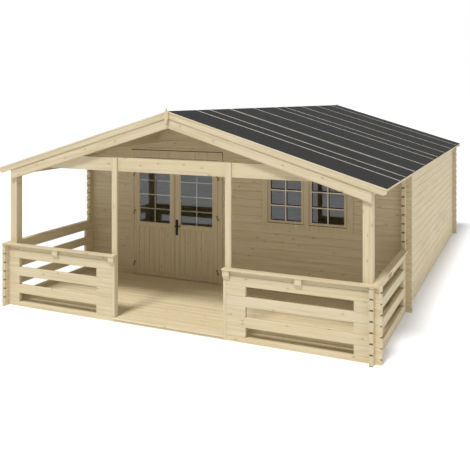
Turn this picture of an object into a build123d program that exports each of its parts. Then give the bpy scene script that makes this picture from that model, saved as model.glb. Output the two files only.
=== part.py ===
from build123d import *
import math
import os

# Garden house of interlocking logs: a gabled room with a veranda under the same roof.
# All sizes are in millimetres. X is the width, +Y runs from the veranda to the back, +Z is up.
# The origin lies on the ground, in the middle of the overall width and length.

# Logs
log_height = 120
log_thick = 44
groove_depth = 5
groove_half = 6
log_end = 80
end_notch = 18
notch_mouth = 15
notch_root = 7

# Plan of the house
house_width = 5160
house_length = 7674
veranda_depth = 1930
side_courses = 16
roof_pitch = 16.75

# Roof build-up
roof_board = 19
felt_thick = 5
eave_overhang = 130
back_overhang = 145
eave_board_thick = 18
eave_board_height = 59
barge_thick = 20
barge_drop = 87
barge_end_cut = 28
rafter_drop = 214
finial_thick = 30
finial_width = 56
finial_spike = 20
finial_shoulder = 80
finial_rise = 32
finial_drop = 178

# Beams that carry the roof
ridge_beam_width = 58
ridge_beam_height = 145
purlin_width = 44
purlin_height = 120
purlin_offset = 1290
eave_purlin_height = 130

# Veranda frame
rail_top = 838
handrail_thick = 18
handrail_out = 44
entry_half = 774
entry_lap = 8
batten_width = 34
batten_proud = 6
rail_gap_inner = 1060
rail_gap_corner = 228
rail_gap_wall = 172
corner_post = 108
post_lap = 12
door_post_width = 76
door_post_depth = 28
front_beam_bottom = 1932
front_beam_height = 175
front_beam_thick = 44
bracket_width = 84
bracket_height = 125
bracket_face = 68
bracket_out = 36
side_bracket = 820

# Floor
bearer_height = 30
bearer_width = 60
bearer_count = 7
bearer_gap = 3
floor_board = 20
step_out = 10

# Door
door_centre = -964
leaf_width = 735
leaf_thick = 40
leaf_gap = 8
leaf_clear = 5
leaf_bottom = 66
leaf_top = 1930
leaf_stile = 85
leaf_glass_bottom = 901
leaf_glass_top = 1794
lock_rail = 60
foot_rail = 60
panel_thick = 18
jamb_thick = 40
jamb_depth = 66
door_stop = 12
threshold_top = 60
head_jamb = 44
casing_width = 70
casing_head = 115
casing_thick = 18
glass_thick = 5

# Door furniture
hinge_heights = (234, 1055, 1668)
hinge_half = 38
hinge_slip = 2
hinge_radius = 6
hinge_clear = 0.5
hinge_wing = 24
hinge_wing_thick = 3
plate_width = 40
plate_height = 242
plate_thick = 8
plate_bottom = 742
plate_from_edge = 32
plate_chamfer = 8
lever_height = 890
lever_slip = 0.5
lever_neck_radius = 9
lever_reach = 54
lever_length = 92
lever_thick = 14
lever_chamfer = 3

# Window
window_left = 564
window_right = 1802
window_bottom = 1031
window_top = 1824
window_lining = 28
window_lining_depth = 66
window_post = 80
window_casing = 88
window_casing_low = 70
sash_frame = 32
sash_thick = 40
sash_set_in = 6

# Derived sizes
half_width = house_width / 2
back_reach = back_overhang + barge_thick + finial_thick
y_front = log_end - (log_end + house_length + back_reach) / 2
y_back = y_front + house_length
y_wall = y_front + veranda_depth
slope = math.tan(math.radians(roof_pitch))
lean = 1 / math.cos(math.radians(roof_pitch))
wall_height = side_courses * log_height
apex = wall_height + half_width * slope
roof_top = apex + (roof_board + felt_thick) * lean
roof_half = half_width + eave_overhang
floor_top = bearer_height + floor_board
inner_half = half_width - log_thick
post_outer = inner_half + post_lap
handrail_top = rail_top + handrail_thick
z_bracket = rail_top - bracket_height
front_beam_top = front_beam_bottom + front_beam_height
y_roof_front = y_front + barge_thick
y_roof_back = y_back + back_overhang
pair_half = leaf_width + leaf_gap / 2
door_left = door_centre - pair_half - leaf_clear - jamb_thick
door_right = door_centre + pair_half + leaf_clear + jamb_thick
door_head = leaf_top + leaf_clear + head_jamb
lintel_course = math.ceil(door_head / log_height - 0.5)
lintel = (lintel_course + 0.5) * log_height


def box(x0, x1, y0, y1, z0, z1):
    """Block between two opposite corners."""
    size = Box(x1 - x0, y1 - y0, z1 - z0, align=(Align.MIN, Align.MIN, Align.MIN))
    return Pos(x0, y0, z0) * size


def along_x(points, x0, x1):
    """Solid with a profile of (y, z) points, run from x0 to x1."""
    plane = Plane(origin=(x0, 0, 0), x_dir=(0, 1, 0), z_dir=(1, 0, 0))
    return extrude(plane * make_face(Polyline(*points, close=True)), x1 - x0)


def along_y(points, y0, y1):
    """Solid with a profile of (x, z) points, run from y0 to y1."""
    plane = Plane(origin=(0, y1, 0), x_dir=(1, 0, 0), z_dir=(0, -1, 0))
    return extrude(plane * make_face(Polyline(*points, close=True)), y1 - y0)


def roof_line(x, level):
    """Height at x of a line parallel to the roof that peaks at the given level."""
    return level - abs(x) * slope


def log_profile(middle, bottom, top, first_joint, faces=(-1, 1)):
    """Stacked logs in section: a V-groove at every joint, on the near (-1) and far (1) face or on one of them."""
    joints = []
    joint = first_joint
    while joint < top - groove_half:
        if joint > bottom + groove_half:
            joints.append(joint)
        joint = joint + log_height
    near = middle - log_thick / 2
    far = middle + log_thick / 2
    near_side = [(near, bottom)]
    far_side = [(far, bottom)]
    for joint in joints:
        if -1 in faces:
            near_side += [(near, joint - groove_half), (near + groove_depth, joint), (near, joint + groove_half)]
        if 1 in faces:
            far_side += [(far, joint - groove_half), (far - groove_depth, joint), (far, joint + groove_half)]
    near_side.append((near, top))
    far_side.append((far, top))
    return near_side + far_side[::-1]


def notch_profile(end, inward, level):
    """Tapered notch cut into the end of a log, from the end face inward."""
    root = end + inward * end_notch
    face = end - inward * 5
    lower = [(face, level - notch_mouth), (root, level - notch_root)]
    upper = [(root, level + notch_root), (face, level + notch_mouth)]
    return lower + upper


def scallops_x(x, y, levels):
    """Notches at the joints on the ends of logs running along X."""
    inward = -1 if x > 0 else 1
    half = log_thick / 2 + 1
    return [along_y(notch_profile(x, inward, z), y - half, y + half) for z in levels]


def scallops_y(x, y, inward, levels):
    """Notches at the joints on the ends of logs running along Y."""
    half = log_thick / 2 + 1
    return [along_x(notch_profile(y, inward, z), x - half, x + half) for z in levels]


def side_joints(top):
    """Joint heights of the side walls, whose first log is a whole one."""
    count = int((top - groove_half) // log_height)
    return [log_height * i for i in range(1, count + 1)]


def cross_joints(top):
    """Joint heights of the front and back walls, which start with half a log."""
    count = int((top - groove_half) / log_height - 0.5)
    return [log_height * (i + 0.5) for i in range(0, count + 1)]


def side_notches(x_middle, y_middle, top):
    """Notches cut above and below each side log where a cross wall passes through."""
    notches = []
    for i in range(0, int(top // log_height) + 2):
        level = log_height * i
        notches.append(Pos(x_middle, y_middle, level) * Box(log_thick, log_thick, log_height / 2))
    return notches


def cross_notches(x_middle, y_middle, top):
    """Notches cut above and below each cross log where a side wall passes through."""
    notches = []
    for i in range(0, int(top // log_height) + 2):
        level = log_height * (i + 0.5)
        notches.append(Pos(x_middle, y_middle, level) * Box(log_thick, log_thick, log_height / 2))
    return notches


# Side walls of the room, sixteen whole logs high, with the top log planed to the roof slope.
# All the room's walls are grooved outside and smooth inside.
def side_wall(side):
    x_middle = side * (half_width - log_thick / 2)
    y0 = y_wall - log_end
    y1 = y_back + log_end
    inner_top = roof_line(inner_half, apex)
    wall = along_y(log_profile(x_middle, 0, inner_top, log_height, [side]), y0, y1)
    outer = side * (half_width + 10)
    inner = side * (inner_half - 10)
    above = [(outer, wall_height - 10 * slope), (inner, inner_top + 10 * slope)]
    above += [(inner, inner_top + 200), (outer, inner_top + 200)]
    cuts = [along_y(above, y0 - 10, y1 + 10)]
    cuts += side_notches(x_middle, y_wall + log_thick / 2, wall_height)
    cuts += side_notches(x_middle, y_back - log_thick / 2, wall_height)
    cuts += scallops_y(x_middle, y0, 1, side_joints(wall_height))
    cuts += scallops_y(x_middle, y1, -1, side_joints(wall_height))
    return wall - cuts


# Front and back walls share one blank: half a log at the foot, gable cut to the roof slope
def cross_wall(y_outer, inward):
    y_middle = y_outer + inward * log_thick / 2
    reach = half_width + log_end
    blank = along_x(log_profile(y_middle, 0, apex, log_height / 2, [-inward]), -reach, reach)
    end_top = roof_line(reach, apex)
    gable = [(-reach, 0), (reach, 0), (reach, end_top), (0, apex), (-reach, end_top)]
    wall = blank & along_y(gable, y_middle - log_thick, y_middle + log_thick)
    cuts = []
    for side in (-1, 1):
        cuts += cross_notches(side * (half_width - log_thick / 2), y_middle, wall_height - log_height / 2)
        cuts += scallops_x(side * reach, y_middle, cross_joints(end_top - groove_half))
    # Pockets for the ridge beam and the purlins that rest in the gable
    y0 = y_middle - log_thick
    y1 = y_middle + log_thick
    cuts.append(box(-ridge_beam_width / 2, ridge_beam_width / 2, y0, y1, apex - ridge_beam_height, apex + 10))
    for side in (-1, 1):
        low = side * purlin_offset - purlin_width / 2
        cuts.append(box(low, low + purlin_width, y0, y1, purlin_bottom, apex))
    return wall - cuts


def under_roof(solid, y0, y1):
    """Trims a beam to the underside of the roof boards."""
    wide = roof_half
    below = [(-wide, 0), (wide, 0), (wide, roof_line(wide, apex)), (0, apex), (-wide, roof_line(wide, apex))]
    return solid & along_y(below, y0 - 10, y1 + 10)


purlin_bottom = roof_line(purlin_offset + purlin_width / 2, apex) - purlin_height
eave_purlin_bottom = roof_line(inner_half, apex) - eave_purlin_height
y_beam_front = y_front + log_thick + door_post_depth
y_beam_back = y_beam_front + front_beam_thick

parts = {}
parts["left_wall"] = side_wall(-1)
parts["right_wall"] = side_wall(1)
parts["back_wall"] = cross_wall(y_back, -1)

# The front wall is divided beside and over the doorway
front = cross_wall(y_wall, 1)
for side in (-1, 1):
    x0 = side * (inner_half - purlin_width / 2) - purlin_width / 2
    front = front - box(x0, x0 + purlin_width, y_wall - 5, y_wall + log_thick + 5, eave_purlin_bottom, apex)
wide = half_width + log_end + 10
y0 = y_wall - 10
y1 = y_wall + log_thick + 10
window_hole = box(window_left, window_right, y0, y1, window_bottom, window_top)
parts["front_wall_left"] = front & box(-wide, door_left, y0, y1, 0, lintel)
parts["front_wall_right"] = (front & box(door_right, wide, y0, y1, 0, lintel)) - window_hole
parts["front_gable"] = front & box(-wide, wide, y0, y1, lintel, apex + 10)

# Veranda railings: the same logs, left out in turn to make three long gaps.
# An upright batten closes the log ends at the entry, proud of the logs up to the bracket above it.
rail_reach = half_width + log_end
y_rail = y_front + log_thick / 2
battens = []
for side, name in ((-1, "left"), (1, "right")):
    ends = sorted((side * entry_half, side * (entry_half + batten_width)))
    batten = box(ends[0], ends[1], y_front, y_front + log_thick, 0, rail_top)
    battens.append(batten + box(ends[0], ends[1], y_front - batten_proud, y_front, 0, z_bracket))
    ends = sorted((side * (entry_half + batten_width), side * rail_reach))
    rail = along_x(log_profile(y_rail, 0, rail_top, log_height / 2), ends[0], ends[1])
    x_corner = side * (half_width - log_thick / 2)
    cuts = cross_notches(x_corner, y_rail, rail_top - log_height / 2)
    cuts += scallops_x(side * rail_reach, y_rail, cross_joints(rail_top))
    gap = sorted((side * rail_gap_inner, side * (half_width - rail_gap_corner)))
    for course in (1, 3, 5):
        level = course * log_height
        cuts.append(box(gap[0], gap[1], y_front - 5, y_front + log_thick + 5,
                        level - log_height / 2, level + log_height / 2))
    parts["front_railing_" + name] = rail - cuts

    y0 = y_front - log_end
    y1 = y_wall - log_end
    rail = along_y(log_profile(x_corner, 0, rail_top, log_height), y0, y1)
    cuts = side_notches(x_corner, y_rail, rail_top)
    cuts += scallops_y(x_corner, y0, 1, side_joints(rail_top))
    for course in (1, 3, 5):
        level = (course + 0.5) * log_height
        cuts.append(box(x_corner - log_thick, x_corner + log_thick, y_front + rail_gap_corner,
                        y_wall - rail_gap_wall, level - log_height / 2, level + log_height / 2))
    parts["side_railing_" + name] = rail - cuts

parts["railing_battens"] = Compound(children=battens)

# Handrails: the front pair laps the corners, the side pair runs back to the room
handrails = []
side_handrails = []
brackets = []
y_hand = y_front - handrail_out
y_hand_back = y_front + log_thick
for side in (-1, 1):
    ends = sorted((side * (entry_half - entry_lap), side * (half_width + handrail_out)))
    handrails.append(box(ends[0], ends[1], y_hand, y_hand_back, rail_top, handrail_top))
    ends = sorted((side * inner_half, side * (half_width + handrail_out)))
    side_handrails.append(box(ends[0], ends[1], y_hand_back, y_wall - log_end, rail_top, handrail_top))
parts["front_handrails"] = Compound(children=handrails)
parts["side_handrails"] = Compound(children=side_handrails)

# Shaped brackets under the overhang of the handrails
profile = [(0, 0), (-bracket_out, bracket_height - bracket_face)]
profile += [(-bracket_out, bracket_height), (0, bracket_height)]
for side in (-1, 1):
    middle = (entry_half + rail_reach) / 2
    for x in (entry_half + bracket_width / 2, middle):
        points = [(y_front + dy, z_bracket + dz) for dy, dz in profile]
        brackets.append(along_x(points, side * x - bracket_width / 2, side * x + bracket_width / 2))
    y = y_front + side_bracket
    points = [(side * (half_width - dy), z_bracket + dz) for dy, dz in profile]
    brackets.append(along_y(points, y - bracket_width / 2, y + bracket_width / 2))
parts["handrail_brackets"] = Compound(children=brackets)

# Corner posts stand in the corners of the railing and lap over the side handrails,
# rebated in front for the rafters and behind for the eaves purlins
y_post = y_front + log_thick
rafter_low = roof_top - rafter_drop
corner_posts = []
for side in (-1, 1):
    ends = sorted((side * (post_outer - corner_post), side * post_outer))
    post = box(ends[0], ends[1], y_post, y_post + corner_post, floor_top, front_beam_bottom)
    ends = sorted((side * inner_half, side * (post_outer + 5)))
    post = post - box(ends[0], ends[1], y_post - 5, y_post + corner_post + 5, floor_top - 5, handrail_top)
    wide = post_outer + 10
    rebate = [(0, rafter_low), (side * wide, roof_line(wide, rafter_low)), (side * wide, apex), (0, apex)]
    post = post - along_y(rebate, y_post - 5, y_beam_front)
    x0 = side * (inner_half - purlin_width / 2) - purlin_width / 2
    post = post - box(x0, x0 + purlin_width, y_beam_back, y_post + corner_post + 5, eave_purlin_bottom, apex)
    corner_posts.append(under_roof(post, y_post, y_post + corner_post))
parts["corner_posts"] = Compound(children=corner_posts)

# Door posts stand behind the railing at each side of the entry and run up in front of the beam
door_posts = []
for side in (-1, 1):
    ends = sorted((side * entry_half, side * (entry_half + door_post_width)))
    door_posts.append(box(ends[0], ends[1], y_post, y_beam_front, floor_top, front_beam_top))
parts["door_posts"] = Compound(children=door_posts)

# Front beam, its ends cut to the roof slope over the corner posts
beam = box(-post_outer, post_outer, y_beam_front, y_beam_back, front_beam_bottom, front_beam_top)
parts["front_beam"] = under_roof(beam, y_beam_front, y_beam_back)

# Roof beams run from the front rafters to the back barge boards
y_beam_end = y_roof_back
ridge = box(-ridge_beam_width / 2, ridge_beam_width / 2, y_beam_front, y_beam_end, apex - ridge_beam_height, apex)
parts["ridge_beam"] = under_roof(ridge, y_beam_front, y_beam_end)
purlins = []
eave_purlins = []
for side in (-1, 1):
    low = side * purlin_offset - purlin_width / 2
    purlin = box(low, low + purlin_width, y_beam_front, y_beam_end, purlin_bottom, apex)
    purlins.append(under_roof(purlin, y_beam_front, y_beam_end))
    x0 = side * (inner_half - purlin_width / 2) - purlin_width / 2
    plate = box(x0, x0 + purlin_width, y_beam_back, y_wall + log_thick, eave_purlin_bottom, apex)
    eave_purlins.append(under_roof(plate, y_beam_back, y_wall + log_thick))
parts["purlins"] = Compound(children=purlins)
parts["eave_purlins"] = Compound(children=eave_purlins)

# Front rafters and the barge boards that cap both roof ends
for side, name in ((-1, "left"), (1, "right")):
    reach = post_outer
    points = [(0, apex), (side * reach, roof_line(reach, apex)), (side * reach, roof_line(reach, rafter_low))]
    points.append((0, rafter_low))
    parts["front_rafter_" + name] = along_y(points, y_post, y_beam_front)
    reach = roof_half
    low = roof_line(reach, roof_top - barge_drop)
    cut = low + barge_end_cut
    tip = reach - barge_end_cut * 1.5
    points = [(0, roof_top), (side * reach, roof_line(reach, roof_top)), (side * reach, cut)]
    points += [(side * tip, roof_line(tip, roof_top - barge_drop)), (0, roof_top - barge_drop)]
    parts["front_barge_" + name] = along_y(points, y_front, y_roof_front)
    parts["back_barge_" + name] = along_y(points, y_roof_back, y_roof_back + barge_thick)

    # Roof boards lie on the walls and beams
    reach = roof_half - eave_board_thick
    boards_top = apex + roof_board * lean
    points = [(0, apex), (0, boards_top), (side * reach, roof_line(reach, boards_top))]
    points.append((side * reach, roof_line(reach, apex)))
    parts["roof_boards_" + name] = along_y(points, y_roof_front, y_roof_back)

# Eaves boards close the lower edges of the roof boards
eave_boards = []
for side in (-1, 1):
    inner = roof_half - eave_board_thick
    points = [(side * inner, roof_line(inner, boards_top)), (side * roof_half, roof_line(roof_half, boards_top))]
    points += [(side * roof_half, roof_line(roof_half, boards_top) - eave_board_height)]
    points += [(side * inner, roof_line(roof_half, boards_top) - eave_board_height)]
    eave_boards.append(along_y(points, y_roof_front, y_roof_back))
parts["eave_boards"] = Compound(children=eave_boards)

# Roofing felt, laid on both slopes and meeting on the ridge
for side, name in ((-1, "left"), (1, "right")):
    points = [(0, boards_top), (side * roof_half, roof_line(roof_half, boards_top))]
    points += [(side * roof_half, roof_line(roof_half, roof_top)), (0, roof_top)]
    parts["roof_felt_" + name] = along_y(points, y_roof_front, y_roof_back)

# A pointed lath covers the joint of the barge boards at each ridge end
finials = []
half = finial_width / 2
spike = finial_spike / 2
right_edge = [(spike, roof_line(spike, roof_top)), (half, roof_line(half, roof_top))]
right_edge.append((half, roof_top - finial_shoulder))
left_edge = [(-x, z) for x, z in reversed(right_edge)]
points = [(0, roof_top + finial_rise)] + right_edge + [(0, roof_top - finial_drop)] + left_edge
for y in (y_front - finial_thick, y_roof_back + barge_thick):
    finials.append(along_y(points, y, y + finial_thick))
parts["finials"] = Compound(children=finials)

# Floor bearers lie on the ground, boards on top
bearers = []
span = inner_half - bearer_width
for i in range(bearer_count):
    x = -span + 2 * span * i / (bearer_count - 1)
    x0 = x - bearer_width / 2
    bearers.append(box(x0, x0 + bearer_width, y_front + log_thick, y_wall, 0, bearer_height))
    bearers.append(box(x0, x0 + bearer_width, y_wall + log_thick, y_back - log_thick, 0, bearer_height))
bearers.append(box(-entry_half, entry_half, y_front, y_front + log_thick - bearer_gap, 0, bearer_height))
parts["floor_bearers"] = Compound(children=bearers)
parts["room_floor"] = box(-inner_half, inner_half, y_wall + log_thick, y_back - log_thick, bearer_height, floor_top)
deck = box(-inner_half, inner_half, y_front + log_thick, y_wall, bearer_height, floor_top)
step = box(-entry_half, entry_half, y_front - step_out, y_front + log_thick, bearer_height, floor_top)
parts["veranda_floor"] = deck + step

# Door frame: rebated jambs and head with a threshold
jamb_in = door_left + jamb_thick
jamb_out = door_right - jamb_thick
head = door_head - head_jamb
stop_y = y_wall - casing_thick + leaf_thick + leaf_clear
frame = box(door_left, door_right, y_wall, y_wall + jamb_depth, 0, door_head)
frame = frame - box(jamb_in, jamb_out, y_wall - 5, stop_y, threshold_top, head)
frame = frame - box(jamb_in + door_stop, jamb_out - door_stop, y_wall, y_wall + jamb_depth + 5,
                    threshold_top, head - door_stop)
frame = frame - box(door_left - 5, door_right + 5, y_wall + log_thick, y_wall + jamb_depth + 5, -5, floor_top)
parts["door_frame"] = frame

# Casing boards around the doorway
casing_left = jamb_in - casing_width
casing_right = jamb_out + casing_width
casing = box(casing_left, casing_right, y_wall - casing_thick, y_wall, floor_top, head + casing_head)
casing = casing - box(jamb_in, jamb_out, y_wall - casing_thick - 5, y_wall + 5, 0, head)
parts["door_casing"] = casing

# Door leaves: framed, glazed above and boarded below
y_leaf = y_wall - casing_thick
y_leaf_back = y_leaf + leaf_thick
for side, name in ((-1, "left"), (1, "right")):
    edges = sorted((door_centre + side * leaf_gap / 2, door_centre + side * (leaf_gap / 2 + leaf_width)))
    x0, x1 = edges
    leaf = box(x0, x1, y_leaf, y_leaf_back, leaf_bottom, leaf_top)
    inner_x0 = x0 + leaf_stile
    inner_x1 = x1 - leaf_stile
    leaf = leaf - box(inner_x0, inner_x1, y_leaf - 5, y_leaf_back + 5, leaf_glass_bottom, leaf_glass_top)
    panel_low = leaf_bottom + foot_rail
    panel_high = leaf_glass_bottom - lock_rail
    recess = (leaf_thick - panel_thick) / 2
    leaf = leaf - box(inner_x0, inner_x1, y_leaf - 5, y_leaf + recess, panel_low, panel_high)
    leaf = leaf - box(inner_x0, inner_x1, y_leaf_back - recess, y_leaf_back + 5, panel_low, panel_high)
    parts["door_leaf_" + name] = leaf
    middle = (y_leaf + y_leaf_back) / 2
    parts["door_glass_" + name] = box(inner_x0, inner_x1, middle - glass_thick / 2, middle + glass_thick / 2,
                                      leaf_glass_bottom, leaf_glass_top)

# Lift-off hinges: a half on the casing and a half on each leaf
y_pin = y_leaf - hinge_radius - hinge_clear
frame_halves = []
for side, name in ((-1, "left"), (1, "right")):
    x_pin = door_centre + side * (pair_half + leaf_clear / 2)
    leaf_halves = []
    for z in hinge_heights:
        knuckle = Pos(x_pin, y_pin, z - hinge_slip / 2 - hinge_half / 2) * Cylinder(hinge_radius, hinge_half)
        ends = sorted((x_pin, x_pin + side * hinge_wing))
        wing = box(ends[0], ends[1], y_leaf - hinge_wing_thick, y_leaf, z - hinge_slip / 2 - hinge_half,
                   z - hinge_slip / 2)
        frame_halves.append(knuckle + wing)
        knuckle = Pos(x_pin, y_pin, z + hinge_slip / 2 + hinge_half / 2) * Cylinder(hinge_radius, hinge_half)
        ends = sorted((x_pin, x_pin - side * hinge_wing))
        wing = box(ends[0], ends[1], y_leaf - hinge_wing_thick, y_leaf, z + hinge_slip / 2,
                   z + hinge_slip / 2 + hinge_half)
        leaf_halves.append(knuckle + wing)
    parts["leaf_hinges_" + name] = Compound(children=leaf_halves)
parts["frame_hinges"] = Compound(children=frame_halves)

# Handle: long plates on both faces of the right leaf, with a lever on each
x_handle = door_centre + leaf_gap / 2 + plate_from_edge
x_plate = x_handle - plate_width / 2
plates = []
levers = []
for y_face, out in ((y_leaf, -1), (y_leaf_back, 1)):
    ends = sorted((y_face, y_face + out * plate_thick))
    plate = box(x_plate, x_plate + plate_width, ends[0], ends[1], plate_bottom, plate_bottom + plate_height)
    plates.append(chamfer(plate.edges().filter_by(Axis.Y), plate_chamfer))
    y_start = y_face + out * (plate_thick + lever_slip)
    neck_length = lever_reach - lever_thick
    neck = Rot(90, 0, 0) * Cylinder(lever_neck_radius, neck_length)
    neck = Pos(x_handle, y_start + out * neck_length / 2, lever_height) * neck
    ends = sorted((y_start + out * neck_length, y_start + out * lever_reach))
    arm = box(x_handle - lever_neck_radius, x_handle + lever_length, ends[0], ends[1],
              lever_height - lever_neck_radius, lever_height + lever_neck_radius)
    levers.append(neck + chamfer(arm.edges().filter_by(Axis.X), lever_chamfer))
parts["handle_plates"] = Compound(children=plates)
parts["door_levers"] = Compound(children=levers)

# Window: a lining with a middle post, casing boards outside it, two fixed sashes with glass
low = window_bottom + window_lining
high = window_top - window_lining
left = window_left + window_lining
right = window_right - window_lining
y_in = y_wall + window_lining_depth
window_frame = box(window_left, window_right, y_wall, y_in, window_bottom, window_top)
window_frame = window_frame + box(left - window_casing, right + window_casing, y_wall - casing_thick, y_wall,
                                  low - window_casing_low, high + window_casing)
sashes = []
panes = []
y_sash = y_wall - casing_thick + sash_set_in
y_glass = y_sash + sash_thick / 2 - glass_thick / 2
x_post = (left + right - window_post) / 2
for x0, x1 in ((left, x_post), (x_post + window_post, right)):
    window_frame = window_frame - box(x0, x1, y_wall - casing_thick - 5, y_in + 5, low, high)
    glass_x0 = x0 + sash_frame
    glass_x1 = x1 - sash_frame
    sash = box(x0, x1, y_sash, y_sash + sash_thick, low, high)
    glass_low = low + sash_frame
    glass_high = high - sash_frame
    sash = sash - box(glass_x0, glass_x1, y_sash - 5, y_sash + sash_thick + 5, glass_low, glass_high)
    sashes.append(sash)
    panes.append(box(glass_x0, glass_x1, y_glass, y_glass + glass_thick, glass_low, glass_high))
parts["window_frame"] = window_frame
parts["window_sashes"] = Compound(children=sashes)
parts["window_glass"] = Compound(children=panes)

os.makedirs("parts", exist_ok=True)
for name, shape in parts.items():
    export_step(shape, os.path.join("parts", name + ".step"))
    print(name, len(shape.solids()), "solids")
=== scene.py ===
# %% [markdown]
# # A log garden house with a veranda
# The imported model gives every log, post and board its place. This lesson dresses
# it: pine with grain and knots, mineral felt, thin glass, glazing bars, door
# boards and small ironwork. All lengths are metres, in the frame of the model.

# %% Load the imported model
import bmesh
import bpy
import math
from mathutils import Matrix, Vector


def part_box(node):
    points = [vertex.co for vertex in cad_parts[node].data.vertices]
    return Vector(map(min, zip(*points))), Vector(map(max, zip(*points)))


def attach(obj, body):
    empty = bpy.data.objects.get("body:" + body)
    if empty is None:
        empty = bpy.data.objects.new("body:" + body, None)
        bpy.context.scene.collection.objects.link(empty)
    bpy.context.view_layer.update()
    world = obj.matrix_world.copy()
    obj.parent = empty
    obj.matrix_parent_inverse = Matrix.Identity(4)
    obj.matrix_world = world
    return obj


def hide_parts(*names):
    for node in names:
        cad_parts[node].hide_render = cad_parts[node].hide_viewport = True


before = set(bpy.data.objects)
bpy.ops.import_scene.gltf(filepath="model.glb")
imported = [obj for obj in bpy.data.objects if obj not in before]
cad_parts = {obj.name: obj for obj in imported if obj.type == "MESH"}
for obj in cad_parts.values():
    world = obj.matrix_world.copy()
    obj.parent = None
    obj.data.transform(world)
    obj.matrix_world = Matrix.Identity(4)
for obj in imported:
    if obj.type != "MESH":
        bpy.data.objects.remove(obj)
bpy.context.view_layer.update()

# %% [markdown]
# ## Shader sums written as Python
# A material is easier to read as a formula than as a list of links. One class
# wraps a node's output, so that a + b adds a Math node, and one method makes any
# other node from its type, its settings and its inputs.

# %% The class that turns sums into nodes
class Wire:
    """A node's output that can be added, scaled and compared like a number."""

    def __init__(self, out):
        self.out = out
        self.tree = out.id_data

    @staticmethod
    def make(tree, kind, settings=None, **values):
        """Any node. Inputs go by name, or by number as i0, i1 and so on."""
        node = tree.nodes.new(kind)
        for key, value in (settings or {}).items():
            setattr(node, key, value)
        for key, value in values.items():
            number = key[1:]
            if number.isdigit():
                socket = node.inputs[int(number)]
            else:
                socket = node.inputs[key.replace("_", " ")]
            if isinstance(value, Wire):
                tree.links.new(value.out, socket)
            else:
                socket.default_value = value
        return Wire(node.outputs[0])

    def at(self, name):
        """Another output of the same node."""
        return Wire(self.out.node.outputs[name])

    def math(self, operation, a, b=0.0):
        return Wire.make(self.tree, "ShaderNodeMath", {"operation": operation}, i0=a, i1=b)

    def __add__(self, other):
        return self.math("ADD", self, other)

    def __radd__(self, other):
        return self.math("ADD", other, self)

    def __sub__(self, other):
        return self.math("SUBTRACT", self, other)

    def __rsub__(self, other):
        return self.math("SUBTRACT", other, self)

    def __mul__(self, other):
        return self.math("MULTIPLY", self, other)

    def __truediv__(self, other):
        return self.math("DIVIDE", self, other)

    def __gt__(self, other):
        return self.math("GREATER_THAN", self, other)

    def floor(self):
        return self.math("FLOOR", self)

    def fract(self):
        return self.math("FRACT", self)

    def absolute(self):
        return self.math("ABSOLUTE", self)

    def between(self, low, high):
        """0 below low, 1 above high, smooth between."""
        return Wire.make(self.tree, "ShaderNodeMapRange", {"interpolation_type": "SMOOTHSTEP"},
                         Value=self, From_Min=low, From_Max=high)


def mix(amount, first, second):
    """Mixes two colours by an amount. The colour sockets of a Mix node are inputs 6 and 7, output 2."""
    node = Wire.make(amount.tree, "ShaderNodeMix", {"data_type": "RGBA"}, i0=amount, i6=first, i7=second)
    return Wire(node.out.node.outputs[2])


def new_material(name, **settings):
    """A material with one Principled shader, and the given values set on it."""
    material = bpy.data.materials.new(name)
    material.use_nodes = True
    tree = material.node_tree
    shader = tree.nodes["Principled BSDF"]
    for key, value in settings.items():
        shader.inputs[key.replace("_", " ")].default_value = value
    return material, tree, shader


print("shader helper ready")

# %% [markdown]
# ## Pine
# Planed spruce and pine are pale straw yellow. Each log or board comes from
# another tree, so its tone differs a little; streaks of late wood run along it,
# small knots sit in it, and its sawn end shows darker end grain. The pattern
# reads Object coordinates: one axis is the grain's, the next one counts boards.
# Logs are notched, and the steep faces inside their notches are darkened with painted shade.

# %% One recipe for all the pine
straw = (0.625, 0.543, 0.372)
late_wood = (0.83, 0.77, 0.66)
warm_tree = (1.0, 0.93, 0.84)
fine_tone = 0.82
knot_rim = (0.50, 0.33, 0.19, 1)
knot_heart = (0.24, 0.13, 0.075, 1)
joint_shade = (0.20, 0.13, 0.07, 1)
notch_shade = (0.09, 0.055, 0.025, 1)
end_pale = (0.58, 0.49, 0.33, 1)
end_dark = (0.44, 0.34, 0.21, 1)
streaks_along, streaks_across = 1.1, 26.0
fine_along, fine_across = 7.0, 210.0
knots_along, knots_across = 3.6, 8.0


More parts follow.
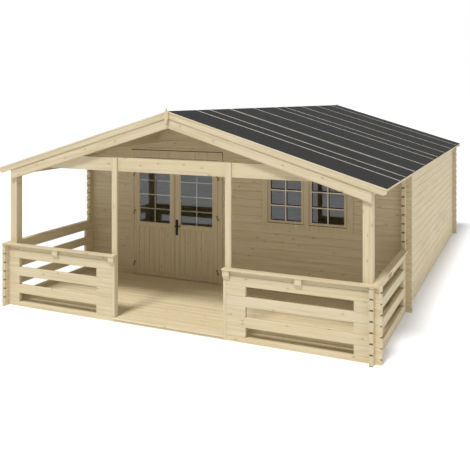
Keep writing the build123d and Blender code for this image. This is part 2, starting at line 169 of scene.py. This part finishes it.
def pine(name, grain, count, pitch, shift=0.0, light=straw, tilt=0.0, knots=1.0, joint=0.0,
         joint_tone=0.75, paint_notch_shade=False):
    """Pine whose grain runs along one axis and whose boards are counted along another."""
    material, tree, shader = new_material(name, Roughness=0.62)
    shader.inputs["Specular IOR Level"].default_value = 0.3
    place = Wire.make(tree, "ShaderNodeTexCoord").at("Object")
    if tilt:
        place = Wire.make(tree, "ShaderNodeMapping", {}, Vector=place,
                          Rotation=(0, math.radians(tilt), 0))
    axes = Wire.make(tree, "ShaderNodeSeparateXYZ", {}, Vector=place)
    u = axes.at(grain)
    v = axes.at(count)
    w = axes.at(({"X", "Y", "Z"} - {grain, count}).pop())
    board = (v / pitch + shift).floor()
    seed = Wire.make(tree, "ShaderNodeTexWhiteNoise", {"noise_dimensions": "1D"}, W=board + 3.7)
    jump = seed.at("Value") * 40.0
    streak_place = Wire.make(tree, "ShaderNodeCombineXYZ", {}, X=u * streaks_along + jump,
                             Y=v * streaks_across, Z=w * streaks_across + jump)
    streak = Wire.make(tree, "ShaderNodeTexNoise", {}, Vector=streak_place, Scale=1.0, Detail=4.0,
                       Roughness=0.6)
    fine_place = Wire.make(tree, "ShaderNodeCombineXYZ", {}, X=u * fine_along + jump,
                           Y=v * fine_across, Z=w * fine_across)
    fine = Wire.make(tree, "ShaderNodeTexNoise", {}, Vector=fine_place, Scale=1.0, Detail=2.0)

    # Knots: the middles of a flat cell pattern, in four cells out of ten.
    knot_place = Wire.make(tree, "ShaderNodeCombineXYZ", {}, X=u * knots_along + jump,
                           Y=v * knots_across + jump)
    cells = Wire.make(tree, "ShaderNodeTexVoronoi", {"voronoi_dimensions": "2D"}, Vector=knot_place,
                      Scale=1.0)
    chosen = Wire.make(tree, "ShaderNodeSeparateColor", {}, Color=cells.at("Color")) > 0.6
    near = cells.at("Distance")
    knot = (1.0 - near.between(0.02, 0.08)) * chosen * knots
    halo = (1.0 - near.between(0.04, 0.22)) * chosen * knots

    dark = tuple(a * b for a, b in zip(light, late_wood))
    warm = tuple(a * b for a, b in zip(light, warm_tree))
    fibre = tuple(c * fine_tone for c in light)
    colour = mix(streak.between(0.35, 0.72), light + (1,), dark + (1,))
    colour = mix(seed.at("Value") * 0.55, colour, warm + (1,))
    colour = mix(fine.between(0.45, 0.8) * 0.42, colour, fibre + (1,))
    colour = mix(halo * 0.26, colour, knot_rim)
    colour = mix(knot * 0.55, colour, knot_heart)
    if joint or paint_notch_shade:
        beside = 0.5 - ((v / pitch + shift).fract() - 0.5).absolute()
    if joint:
        colour = mix((1.0 - beside.between(joint * 0.5, joint)) * joint_tone, colour, joint_shade)

    # Sawn ends, and the painted shade in the notches, are told by the way a face looks along the grain.
    normal = Wire.make(tree, "ShaderNodeNewGeometry").at("Normal")
    if tilt:
        normal = Wire.make(tree, "ShaderNodeMapping", {"vector_type": "NORMAL"}, Vector=normal,
                           Rotation=(0, math.radians(tilt), 0))
    facing = Wire.make(tree, "ShaderNodeSeparateXYZ", {}, Vector=normal).at(grain).absolute()
    rings_place = Wire.make(tree, "ShaderNodeCombineXYZ", {}, X=v - (board + 0.5 - shift) * pitch,
                            Y=w, Z=jump)
    rings = Wire.make(tree, "ShaderNodeTexWave", {"wave_type": "RINGS", "rings_direction": "Z"},
                      Vector=rings_place, Scale=42.0, Distortion=1.5, Detail=1.0)
    end_colour = mix(rings.at("Fac") * 0.45, end_pale, end_dark)
    colour = mix(facing.between(0.75, 0.95) * 0.7, colour, end_colour)
    if paint_notch_shade:
        # Painted shade: the steep faces inside the logs' notches are darkened in colour.
        notch_shade_mask = (1.0 - beside.between(0.06, 0.11)) * facing.between(0.2, 0.35)
        colour = mix(notch_shade_mask * 0.68, colour, notch_shade)
    tree.links.new(colour.out, shader.inputs["Base Color"])
    relief = Wire.make(tree, "ShaderNodeBump", {}, Strength=0.25, Distance=0.002,
                       Height=fine * 0.6 + streak.at("Fac") * 0.4 - knot * 0.3)
    tree.links.new(relief.out, shader.inputs["Normal"])
    return material


print("pine recipe ready")

# %% [markdown]
# ## One pine for each kind of piece
# Logs, posts, rails, sloping boards and joinery differ in the axis of their grain,
# in the width of a board and a little in tone. Boards on the roof's slopes turn
# the pattern by the pitch of the roof.

# %% The kinds of pine
log = 0.120
floor_board = 0.118
roof_board = 0.095
pitch_angle = 16.75
pine_logs_across = pine("pine_logs_across", "X", "Z", log, 0.5, paint_notch_shade=True)
pine_logs_back = pine("pine_logs_back", "Y", "Z", log, paint_notch_shade=True)
pine_posts = pine("pine_posts", "Z", "X", 0.2, 0.5)
pine_rails_across = pine("pine_rails_across", "X", "Y", 0.3)
pine_rails_back = pine("pine_rails_back", "Y", "X", 0.3)
pine_slope_left = pine("pine_slope_left", "X", "Z", 0.5, tilt=pitch_angle)
pine_slope_right = pine("pine_slope_right", "X", "Z", 0.5, tilt=-pitch_angle)
pine_cap_left = pine("pine_cap_left", "X", "Z", 0.5, light=(0.76, 0.69, 0.53), tilt=pitch_angle,
                     knots=0.0)
pine_cap_right = pine("pine_cap_right", "X", "Z", 0.5, light=(0.70, 0.62, 0.45), tilt=-pitch_angle,
                      knots=0.0)
pine_floor = pine("pine_floor", "X", "Y", floor_board, light=(0.72, 0.63, 0.435), knots=0.6,
                  joint=0.022, joint_tone=0.3)
pine_roof_boards = pine("pine_roof_boards", "X", "Y", roof_board, light=(0.61, 0.52, 0.345), joint=0.03)
pine_joinery = pine("pine_joinery", "Z", "X", 0.11, light=(0.61, 0.535, 0.37), knots=0.5)
pine_panel = pine("pine_panel", "Z", "X", 0.09, light=(0.59, 0.515, 0.352), knots=0.9)
pine_bars = pine("pine_bars", "Z", "X", 0.3, light=(0.78, 0.73, 0.62), knots=0.0)
print("pine materials:", len(bpy.data.materials))

# %% [markdown]
# ## Roofing felt
# The sheets are bitumen with crushed stone pressed in: nearly black, matt, and
# rough to the touch. Fine noise gives the grit and a slow one the cloudy tone.
# Where two strips overlap, the bare edge of the upper one shows as a pale line.

# %% Felt
def mineral_felt(name):
    """Black felt with crushed stone in it."""
    material, tree, shader = new_material(name, Roughness=0.85)
    place = Wire.make(tree, "ShaderNodeTexCoord").at("Object")
    grit = Wire.make(tree, "ShaderNodeTexNoise", {}, Vector=place, Scale=420.0, Detail=2.0)
    cloud = Wire.make(tree, "ShaderNodeTexNoise", {}, Vector=place, Scale=1.6, Detail=3.0)
    shader.inputs["Specular IOR Level"].default_value = 0.12
    colour = mix(grit.between(0.40, 0.68), (0.010, 0.010, 0.010, 1), (0.032, 0.031, 0.030, 1))
    colour = mix(cloud.between(0.3, 0.8) * 0.35, colour, (0.024, 0.024, 0.0245, 1))
    tree.links.new(colour.out, shader.inputs["Base Color"])
    relief = Wire.make(tree, "ShaderNodeBump", {}, Strength=0.4, Distance=0.0015, Height=grit)
    tree.links.new(relief.out, shader.inputs["Normal"])
    return material


def seam_edge(name, worn, clean):
    """Pale edge of a strip of felt, worn in patches."""
    material, tree, shader = new_material(name, Roughness=0.7)
    place = Wire.make(tree, "ShaderNodeTexCoord").at("Object")
    wear = Wire.make(tree, "ShaderNodeTexNoise", {}, Vector=place, Scale=14.0, Detail=4.0)
    colour = mix(wear.between(0.35, 0.65), worn, clean)
    tree.links.new(colour.out, shader.inputs["Base Color"])
    return material


felt = mineral_felt("felt")
seam = seam_edge("felt_seam", (0.46, 0.44, 0.37, 1), (0.64, 0.61, 0.52, 1))
dull_seam = seam_edge("felt_seam_dull", (0.216, 0.204, 0.16, 1), (0.312, 0.296, 0.234, 1))
print("felt ready")

# %% [markdown]
# ## Glass and ironwork
# Thin clear glass shows the pale surroundings as a grey sheen over a dark room.
# Levers and their plates are lacquered near black and the hinges a warm brown.
# The seals of the window share the recipe, as they are dark and a little shiny. The same dark finish
# is also painted shade: in the joints by the sashes and the casing, and in the widened seal strips.

# %% Glass and lacquered iron
def clear_glass(name):
    """Clear glass with a faint uneven film."""
    material, tree, shader = new_material(name, Roughness=0.01, IOR=1.6)
    shader.inputs["Transmission Weight"].default_value = 1.0
    place = Wire.make(tree, "ShaderNodeTexCoord").at("Object")
    film = Wire.make(tree, "ShaderNodeTexNoise", {}, Vector=place, Scale=3.0, Detail=2.0)
    colour = mix(film.between(0.3, 0.7), (0.90, 0.93, 0.93, 1), (0.86, 0.90, 0.90, 1))
    tree.links.new(colour.out, shader.inputs["Base Color"])
    return material


def lacquered_iron(name, dark, worn):
    """Dark coat with slightly paler, rougher specks."""
    material, tree, shader = new_material(name, Roughness=0.5)
    shader.inputs["Specular IOR Level"].default_value = 0.2
    place = Wire.make(tree, "ShaderNodeTexCoord").at("Object")
    mottle = Wire.make(tree, "ShaderNodeTexNoise", {}, Vector=place, Scale=90.0, Detail=3.0)
    colour = mix(mottle.between(0.35, 0.75), dark, worn)
    tree.links.new(colour.out, shader.inputs["Base Color"])
    tree.links.new((mottle * 0.25 + 0.42).out, shader.inputs["Roughness"])
    return material


glass = clear_glass("glass")
iron = lacquered_iron("iron", (0.020, 0.016, 0.014, 1), (0.045, 0.036, 0.030, 1))
hinge_iron = lacquered_iron("hinge_iron", (0.26, 0.17, 0.10, 1), (0.36, 0.25, 0.15, 1))
# Dark seal finish, also used for the strips of painted shade in joints and beside the glazing bars.
seal_and_painted_shade = lacquered_iron("glazing_seal_and_painted_shade", (0.030, 0.022, 0.016, 1), (0.055, 0.042, 0.032, 1))
print("glass and iron ready")

# %% [markdown]
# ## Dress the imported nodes
# Every node keeps its shape and gets the finish whose grain follows its length.

# %% Give each node its finish
finishes = {
    pine_logs_across: ["back_wall", "front_wall_left", "front_wall_right", "front_gable",
                       "front_railing_left", "front_railing_right", "front_beam"],
    pine_logs_back: ["left_wall", "right_wall", "side_railing_left", "side_railing_right"],
    pine_posts: ["corner_posts", "door_posts", "railing_battens", "finials"],
    pine_rails_across: ["front_handrails", "handrail_brackets"],
    pine_rails_back: ["side_handrails", "ridge_beam", "purlins", "eave_purlins", "eave_boards",
                      "floor_bearers"],
    pine_slope_left: ["front_rafter_left", "front_barge_left", "back_barge_left"],
    pine_slope_right: ["front_rafter_right", "front_barge_right", "back_barge_right"],
    pine_floor: ["room_floor", "veranda_floor"],
    pine_roof_boards: ["roof_boards_left", "roof_boards_right"],
    pine_joinery: ["door_frame", "door_casing", "door_leaf_left", "door_leaf_right", "window_frame",
                   "window_sashes"],
    felt: ["roof_felt_left", "roof_felt_right"],
    glass: ["door_glass_left", "door_glass_right", "window_glass"],
    iron: ["handle_plates", "door_levers"],
    hinge_iron: ["frame_hinges", "leaf_hinges_left", "leaf_hinges_right"],
}
dressed = 0
for finish, names in finishes.items():
    for name in names:
        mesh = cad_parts[name].data
        mesh.materials.clear()
        mesh.materials.append(finish)
        dressed += 1
print("dressed", dressed, "of", len(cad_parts))

# %% [markdown]
# ## Tools for joinery
# Most small pieces of a timber house are planed blocks with eased edges. One
# function makes such a block inside a growing mesh, and one turns the finished
# mesh into a piece that rides with a body.

# %% Block and piece makers
hair = 0.0005
fine_ease = 0.001
sheet_ease = 0.0005
slope = math.tan(math.radians(pitch_angle))


def add_block(mesh, low, high, ease=0.0, shear=None):
    """Planed block between two corners, its edges eased, then slanted if a shear is given."""
    corners = bmesh.ops.create_cube(mesh, size=1.0)["verts"]
    low, high = Vector(low), Vector(high)
    bmesh.ops.scale(mesh, vec=high - low, verts=corners)
    bmesh.ops.translate(mesh, vec=(high + low) / 2, verts=corners)
    if ease:
        edges = list({edge for corner in corners for edge in corner.link_edges})
        made = bmesh.ops.bevel(mesh, geom=edges, offset=ease, segments=1, profile=0.5,
                               affect="EDGES", material=-1)
        corners = made["verts"]
    if shear:
        bmesh.ops.transform(mesh, matrix=shear, verts=corners)


def make_piece(name, mesh, material, body):
    """Turns a finished mesh into a piece that rides with a body."""
    bmesh.ops.recalc_face_normals(mesh, faces=mesh.faces)
    data = bpy.data.meshes.new(name)
    mesh.to_mesh(data)
    mesh.free()
    data.materials.append(material)
    piece = bpy.data.objects.new(name, data)
    bpy.context.scene.collection.objects.link(piece)
    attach(piece, body)
    return piece


def roof_shear(side):
    """Lays a level block that starts at the ridge along the slope of one side."""
    return Matrix(((1, 0, 0, 0), (0, 1, 0, 0), (-side * slope, 0, 1, 0), (0, 0, 0, 1)))


print("joinery tools ready")

# %% [markdown]
# ## Floor boards
# The floor is tongue-and-groove boards nailed across the bearers. The packed
# floor is one slab, so the visible one is laid board by board over the same
# space, each board with eased edges so that the joints catch a shadow.

# %% Lay the floors
board_joint = 0.002
board_ease = 0.0015
entry_ease = 0.002
for name in ("room_floor", "veranda_floor"):
    low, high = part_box(name)
    mesh = bmesh.new()
    x0, x1 = low[0], high[0]
    y = low[1]
    if name == "veranda_floor":
        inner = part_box("front_railing_left")[1][1]
        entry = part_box("front_railing_right")[0][0]
        add_block(mesh, (-entry, y, low[2]), (entry, inner - board_joint, high[2]), entry_ease)
        y = inner
    while y < high[1] - board_joint:
        end = min(y + floor_board - board_joint, high[1])
        add_block(mesh, (x0, y, low[2]), (x1, end, high[2]), board_ease)
        y += floor_board
    boards = make_piece(name + "_boards", mesh, pine_floor, "house")
    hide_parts(name)
    print(name, "laid with", len(boards.data.polygons), "faces")

# %% [markdown]
# ## Roof boards
# Matched boards run from the ridge to the eaves, and their V-joints show on the
# underside over the veranda. A block laid level from the ridge and sheared down
# has the upright end cuts of the real board.

# %% Lay the roof boards
half_gap = 0.0004
vee_ease = 0.003
for side, name in ((-1, "roof_boards_left"), (1, "roof_boards_right")):
    low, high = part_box(name)
    reach = max(abs(low[0]), abs(high[0]))
    thick = high[2] - low[2] - reach * slope
    mesh = bmesh.new()
    count = round((high[1] - low[1]) / roof_board)
    width = (high[1] - low[1]) / count
    for i in range(count):
        y = low[1] + i * width
        ends = sorted((0.0, side * reach))
        add_block(mesh, (ends[0], y + half_gap, high[2] - thick),
                  (ends[1], y + width - half_gap, high[2]), vee_ease, roof_shear(side))
    boards = make_piece(name + "_laid", mesh, pine_roof_boards, "house")
    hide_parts(name)
    print(name, "boards:", count)

# %% [markdown]
# ## Fascia boards and barge caps
# Under each front barge board a fascia covers the rafter, set back by a few
# millimetres so that one thin shadow parts the two. The left one stops 30 mm short
# of its rafter's end, which would show past the corner post. A narrow lath caps
# the barge board's top edge, where the felt ends.

# %% Fascias and caps on both front slopes
barge_drop = 0.087
fascia_back = 0.011
cap_high = 0.016
cap_proud = 0.005
finial_half = 0.028
end_cut = 0.001
fronts = ((-1, "left", pine_slope_left, pine_cap_left, 0.030),
          (1, "right", pine_slope_right, pine_cap_right, 0.002))
for side, name, finish, cap_finish, cut in fronts:
    low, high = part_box("front_rafter_" + name)
    barge_low, barge_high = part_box("front_barge_" + name)
    reach = max(abs(low[0]), abs(high[0]))
    barge_reach = max(abs(barge_low[0]), abs(barge_high[0]))
    ridge_low = low[2] + reach * slope
    ends = sorted((0.0, side * (reach - cut)))
    mesh = bmesh.new()
    add_block(mesh, (ends[0], barge_low[1] + fascia_back, ridge_low + hair),
              (ends[1], low[1], barge_high[2] - barge_drop - hair), board_ease, roof_shear(side))
    make_piece("front_fascia_" + name, mesh, finish, "house")
    ends = sorted((side * finial_half, side * (barge_reach - end_cut)))
    mesh = bmesh.new()
    add_block(mesh, (ends[0], barge_low[1] - cap_proud, barge_high[2] - cap_high),
              (ends[1], barge_low[1], barge_high[2] - hair), fine_ease, roof_shear(side))
    make_piece("barge_cap_" + name, mesh, cap_finish, "house")
print("fascia height", round(barge_high[2] - barge_drop - ridge_low, 3), "m")

# %% [markdown]
# ## Eave laths and felt edges
# Seen from outside, only a thin lath closes the ends of the roof boards along the
# eaves, so it stands in for the deeper packed board. The felt is folded over the
# top edges of the barge boards, which hides their pale wood from above.

# %% Laths along the eaves, felt over the barge boards
lath_high = 0.025
felt_lap = 0.0004
fold_over = 0.001
fold_thick = 0.0016
low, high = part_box("roof_felt_right")
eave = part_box("eave_boards")
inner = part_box("roof_boards_right")[1][0]
top = low[2] + high[0] * slope
laths = bmesh.new()
folds = bmesh.new()
for side in (-1, 1):
    ends = sorted((side * inner, side * high[0]))
    add_block(laths, (ends[0], eave[0][1], top - lath_high), (ends[1], eave[1][1], top), fine_ease,
              roof_shear(side))
    ends = sorted((side * finial_half, side * (high[0] - end_cut)))
    for barge in ("front_barge_right", "back_barge_right"):
        edge_low, edge_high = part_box(barge)
        add_block(folds, (ends[0], edge_low[1] - fold_over, edge_high[2] - felt_lap),
                  (ends[1], edge_high[1] + fold_over, edge_high[2] + fold_thick), sheet_ease,
                  roof_shear(side))
lath_piece = make_piece("eave_laths", laths, pine_rails_back, "house")
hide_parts("eave_boards")
make_piece("felt_folds", folds, felt, "house")
print("eave laths", lath_high, "m high")

# %% [markdown]
# ## Felt seams
# The felt is laid in strips from the ridge to the eaves. Each overlap shows as a
# thin pale line, and the third one is a wide, duller band. The strips aren't all
# of one width, so each overlap has its own distance from the felt's front edge.

# %% Seams on both slopes
seam_places = (0.753, 1.152, 1.841, 2.76, 3.726, 4.224, 5.16, 6.174, 7.195)
seam_width = 0.023
wide_seam = 0.080
wide_number = 2
seam_thick = 0.0016
seam_ease = 0.0006
low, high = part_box("roof_felt_right")
for side, name in ((-1, "left"), (1, "right")):
    thin = bmesh.new()
    wide = bmesh.new()
    for i, place in enumerate(seam_places):
        y = low[1] + place
        half = (wide_seam if i == wide_number else seam_width) / 2
        ends = sorted((0.0, side * (high[0] - end_cut)))
        add_block(wide if i == wide_number else thin, (ends[0], y - half, high[2] - felt_lap),
                  (ends[1], y + half, high[2] + seam_thick), seam_ease, roof_shear(side))
    make_piece("felt_seams_" + name, thin, seam, "house")
    make_piece("felt_wide_seam_" + name, wide, dull_seam, "house")
print("felt seams:", 2 * len(seam_places))

# %% [markdown]
# ## Glazing bars and beads
# Thin bars split each pane into small lights, and a bead runs round every pane
# where it meets the frame. In the doors the bars stand behind the glass, so its
# sheen lies over them. In the window they are on both faces, over a dark seal. The
# seal is widened and shifted to the right of every bar and above it, as painted
# shade for the shaded inner bars seen through the glass. The uprights stand a little
# prouder than the level bars, so that no two faces share one plane.

# %% How one pane is glazed
bar_width = 0.017
bar_thick = 0.010
bar_ease = 0.0025
upright_proud = 1.05
bead = 0.008
# The seal strips are wider than a seal and shifted right and up: painted shade beside the bars.
seal_and_shade_width = 0.008
seal_thick = 0.002
painted_shade_shift = 0.006


def lattice(mesh, pane, y, thick, levels, bar, edge, ease):
    """Level bars, one upright and four edge strips on one face of a pane."""
    (x0, z0), (x1, z1) = pane
    middle = (x0 + x1) / 2
    near = sorted((y, y + thick))
    over = sorted((y, y + thick * upright_proud))
    for level in levels:
        add_block(mesh, (x0, near[0], level - bar / 2), (x1, near[1], level + bar / 2), ease)
    add_block(mesh, (middle - bar / 2, over[0], z0), (middle + bar / 2, over[1], z1), ease)
    add_block(mesh, (x0, near[0], z0), (x1, near[1], z0 + edge), ease)
    add_block(mesh, (x0, near[0], z1 - edge), (x1, near[1], z1), ease)
    add_block(mesh, (x0, over[0], z0), (x0 + edge, over[1], z1), ease)
    add_block(mesh, (x1 - edge, over[0], z0), (x1, over[1], z1), ease)


def glaze(name, x0, x1, z0, z1, y, glass_half, levels, body, sealed_with_painted_shade=False):
    """Bars and beads of one pane: behind the glass, or on both faces over a dark seal widened and
    shifted as painted shade.
    """
    pane = ((x0, z0), (x1, z1))
    front = y - glass_half
    bars = bmesh.new()
    lattice(bars, pane, y + glass_half + hair, bar_thick, levels, bar_width, bead, bar_ease)
    if sealed_with_painted_shade:
        lattice(bars, pane, front, -bar_thick, levels, bar_width, bead, bar_ease)
    else:
        for low_z, high_z in ((z0, z0 + bead), (z1 - bead, z1)):
            add_block(bars, (x0, front - bar_thick, low_z), (x1, front, high_z), bar_ease)
        for low_x, high_x in ((x0, x0 + bead), (x1 - bead, x1)):
            add_block(bars, (low_x, front - bar_thick * upright_proud, z0), (high_x, front, z1),
                      bar_ease)
    make_piece(name + "_bars", bars, pine_bars, body)
    if sealed_with_painted_shade:
        strips = bmesh.new()
        # Painted shade: the seal strips are widened and shifted right and up, where the shaded inner
        # bars show through the glass.
        shifted = ((x0 + painted_shade_shift, z0 + painted_shade_shift), (x1 + painted_shade_shift, z1 + painted_shade_shift))
        lattice(strips, shifted, front, -seal_thick, [level + painted_shade_shift for level in levels],
                bar_width + 2 * seal_and_shade_width, bead + seal_and_shade_width, sheet_ease)
        make_piece(name + "_seal", strips, seal_and_painted_shade, body)


print("glazing tools ready")

# %% [markdown]
# ## Four panes
# A door pane has four rows of lights and two columns. Each sash of the window has
# three rows and two columns.

# %% Glaze the doors and the window
for side in ("left", "right"):
    low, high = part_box("door_glass_" + side)
    half = (high[1] - low[1]) / 2
    quarter = (high[2] - low[2]) / 4
    levels = [low[2] + quarter * i for i in (1, 2, 3)]
    glaze("door_" + side, low[0], high[0], low[2], high[2], low[1] + half, half, levels,
          "door_" + side)

low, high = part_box("window_glass")
post_half = 0.040
sash_frame = 0.032
middle = (low[0] + high[0]) / 2
third = (high[2] - low[2]) / 3
levels = [low[2] + third, low[2] + 2 * third]
half = (high[1] - low[1]) / 2
inner = post_half + sash_frame
for side, x0, x1 in (("left", low[0], middle - inner), ("right", middle + inner, high[0])):
    glaze("window_" + side, x0, x1, low[2], high[2], low[1] + half, half, levels, "house", sealed_with_painted_shade=True)
print("glazed four panes")

# %% [markdown]
# ## Painted shade in the joints
# A thin dark strip of painted shade lies in the joint beside and under each sash, and
# another one over the door's casing and down its right side in the gable.

# %% Painted shade in the joints of the sashes and the casing
low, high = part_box("window_sashes")
gap_high = 0.008
gap_side = 0.004
gap_thick = 0.0015
side_thick = 0.0017
# Painted shade: dark strips in the joints beside and under each sash.
painted_gap_shade = bmesh.new()
for x0, x1 in ((low[0], middle - post_half), (middle + post_half, high[0])):
    add_block(painted_gap_shade, (x0, low[1] - gap_thick, low[2]), (x1, low[1], low[2] + gap_high), sheet_ease)
    add_block(painted_gap_shade, (x0, low[1] - side_thick, low[2]), (x0 + gap_side, low[1], high[2]), sheet_ease)
    add_block(painted_gap_shade, (x1 - gap_side, low[1] - side_thick, low[2]), (x1, low[1], high[2]), sheet_ease)
make_piece("sash_gap_shade", painted_gap_shade, seal_and_painted_shade, "house")

low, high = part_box("door_casing")
gable_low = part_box("front_gable")[0]
wall_face = gable_low[1]
# Painted shade: a dark strip over the casing and down its right side.
painted_gap_shade = bmesh.new()
add_block(painted_gap_shade, (low[0], wall_face - gap_thick, high[2]), (high[0], wall_face, high[2] + gap_high),
          sheet_ease)
add_block(painted_gap_shade, (high[0], wall_face - gap_thick, gable_low[2]),
          (high[0] + gap_side, wall_face, high[2] + gap_high), sheet_ease)
make_piece("casing_gap_shade", painted_gap_shade, seal_and_painted_shade, "house")

# %% [markdown]
# ## Door boards
# The lower panel of each leaf is matched boarding, six boards to a leaf on both
# faces, set a little behind the stiles.

# %% Boards in the door panels
stile = 0.085
lock_rail = 0.060
foot_rail = 0.060
recess = 0.011
board_proud = 0.006
panel_boards = 6
panel_gap = 0.0003
panel_ease = 0.0035
for side in ("left", "right"):
    low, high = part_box("door_leaf_" + side)
    glass_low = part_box("door_glass_" + side)[0]
    mesh = bmesh.new()
    x0 = low[0] + stile
    width = (high[0] - low[0] - 2 * stile) / panel_boards
    front = low[1] + recess
    back = high[1] - recess
    for y0, y1 in ((front - board_proud, front), (back, back + board_proud)):
        for i in range(panel_boards):
            add_block(mesh, (x0 + i * width + panel_gap, y0, low[2] + foot_rail),
                      (x0 + (i + 1) * width - panel_gap, y1, glass_low[2] - lock_rail), panel_ease)
    make_piece("door_boards_" + side, mesh, pine_panel, "door_" + side)
print("door panels boarded")

# %% [markdown]
# ## The camera
# The picture keeps its uprights parallel, as an architect's does: the camera is
# level and the frame is shifted down instead of tilting the lens.

# %% Camera
camera_data = bpy.data.cameras.new("camera")
camera_data.lens = 50.705
camera_data.sensor_width = 36.0
camera_data.shift_y = -0.2914
camera = bpy.data.objects.new("camera", camera_data)
bpy.context.scene.collection.objects.link(camera)
camera.location = (4.1391, -11.0404, 2.8827)
camera.rotation_euler = (math.radians(90), 0, math.radians(24.2111))
bpy.context.scene.camera = camera
print("camera at", tuple(camera.location))

# %% [markdown]
# ## Light
# A broad soft sun stands high in front, a little to the left. It reaches about a
# metre into the veranda and leaves only a narrow shadow beside the long wall. A
# wide, weak lamp fills from the right. The rest is an even white sky: plain white
# where the picture, the glass or a glossy face shows it, and dimmer as light.

# %% Suns and sky
bpy.context.scene.view_settings.view_transform = "Standard"


def add_sun(name, towards, strength, spread, tint):
    """Far lamp whose light travels in the given direction."""
    data = bpy.data.lights.new(name, "SUN")
    data.energy = strength
    data.angle = math.radians(spread)
    data.color = tint
    lamp = bpy.data.objects.new(name, data)
    bpy.context.scene.collection.objects.link(lamp)
    lamp.rotation_euler = Vector(towards).to_track_quat("-Z", "Y").to_euler()


add_sun("key_sun", (0.045, 0.49, -0.871), 2.65, 12, (1.0, 0.99, 0.98))
add_sun("fill_light", (-0.85, 0.15, -0.50), 0.8, 60, (0.98, 0.99, 1.0))

sky_light = 0.36
world = bpy.data.worlds.new("sky")
world.use_nodes = True
bpy.context.scene.world = world
sky = world.node_tree
path = Wire.make(sky, "ShaderNodeLightPath")
seen = path.at("Is Camera Ray").math("MAXIMUM", path.at("Is Camera Ray"), path.at("Is Glossy Ray"))
seen = seen.math("MAXIMUM", seen, path.at("Is Transmission Ray"))
background = sky.nodes["Background"]
background.inputs["Color"].default_value = (1, 1, 1, 1)
sky.links.new((sky_light + seen * (1 - sky_light)).out, background.inputs["Strength"])

print("sky light", sky_light)

# %% [markdown]
# ## The floor under the house
# A wide pale floor takes the soft shadow. It is stage only, and no part of the
# house.

# %% Floor
floor_half = 150.0
ground = bmesh.new()
bmesh.ops.create_grid(ground, x_segments=1, y_segments=1, size=floor_half)
floor_mesh = bpy.data.meshes.new("floor")
ground.to_mesh(floor_mesh)
ground.free()
floor = bpy.data.objects.new("floor", floor_mesh)
bpy.context.scene.collection.objects.link(floor)
floor_finish, tree, shader = new_material("floor_finish", Roughness=0.9)
place = Wire.make(tree, "ShaderNodeTexCoord").at("Object")
cloud = Wire.make(tree, "ShaderNodeTexNoise", {}, Vector=place, Scale=0.5)
shade = mix(cloud.between(0.3, 0.7), (0.90, 0.915, 0.94, 1), (0.92, 0.935, 0.96, 1))
tree.links.new(shade.out, shader.inputs["Base Color"])
floor_mesh.materials.append(floor_finish)
print("floor", 2 * floor_half, "m wide")

# %% Update the scene
bpy.context.view_layer.update()
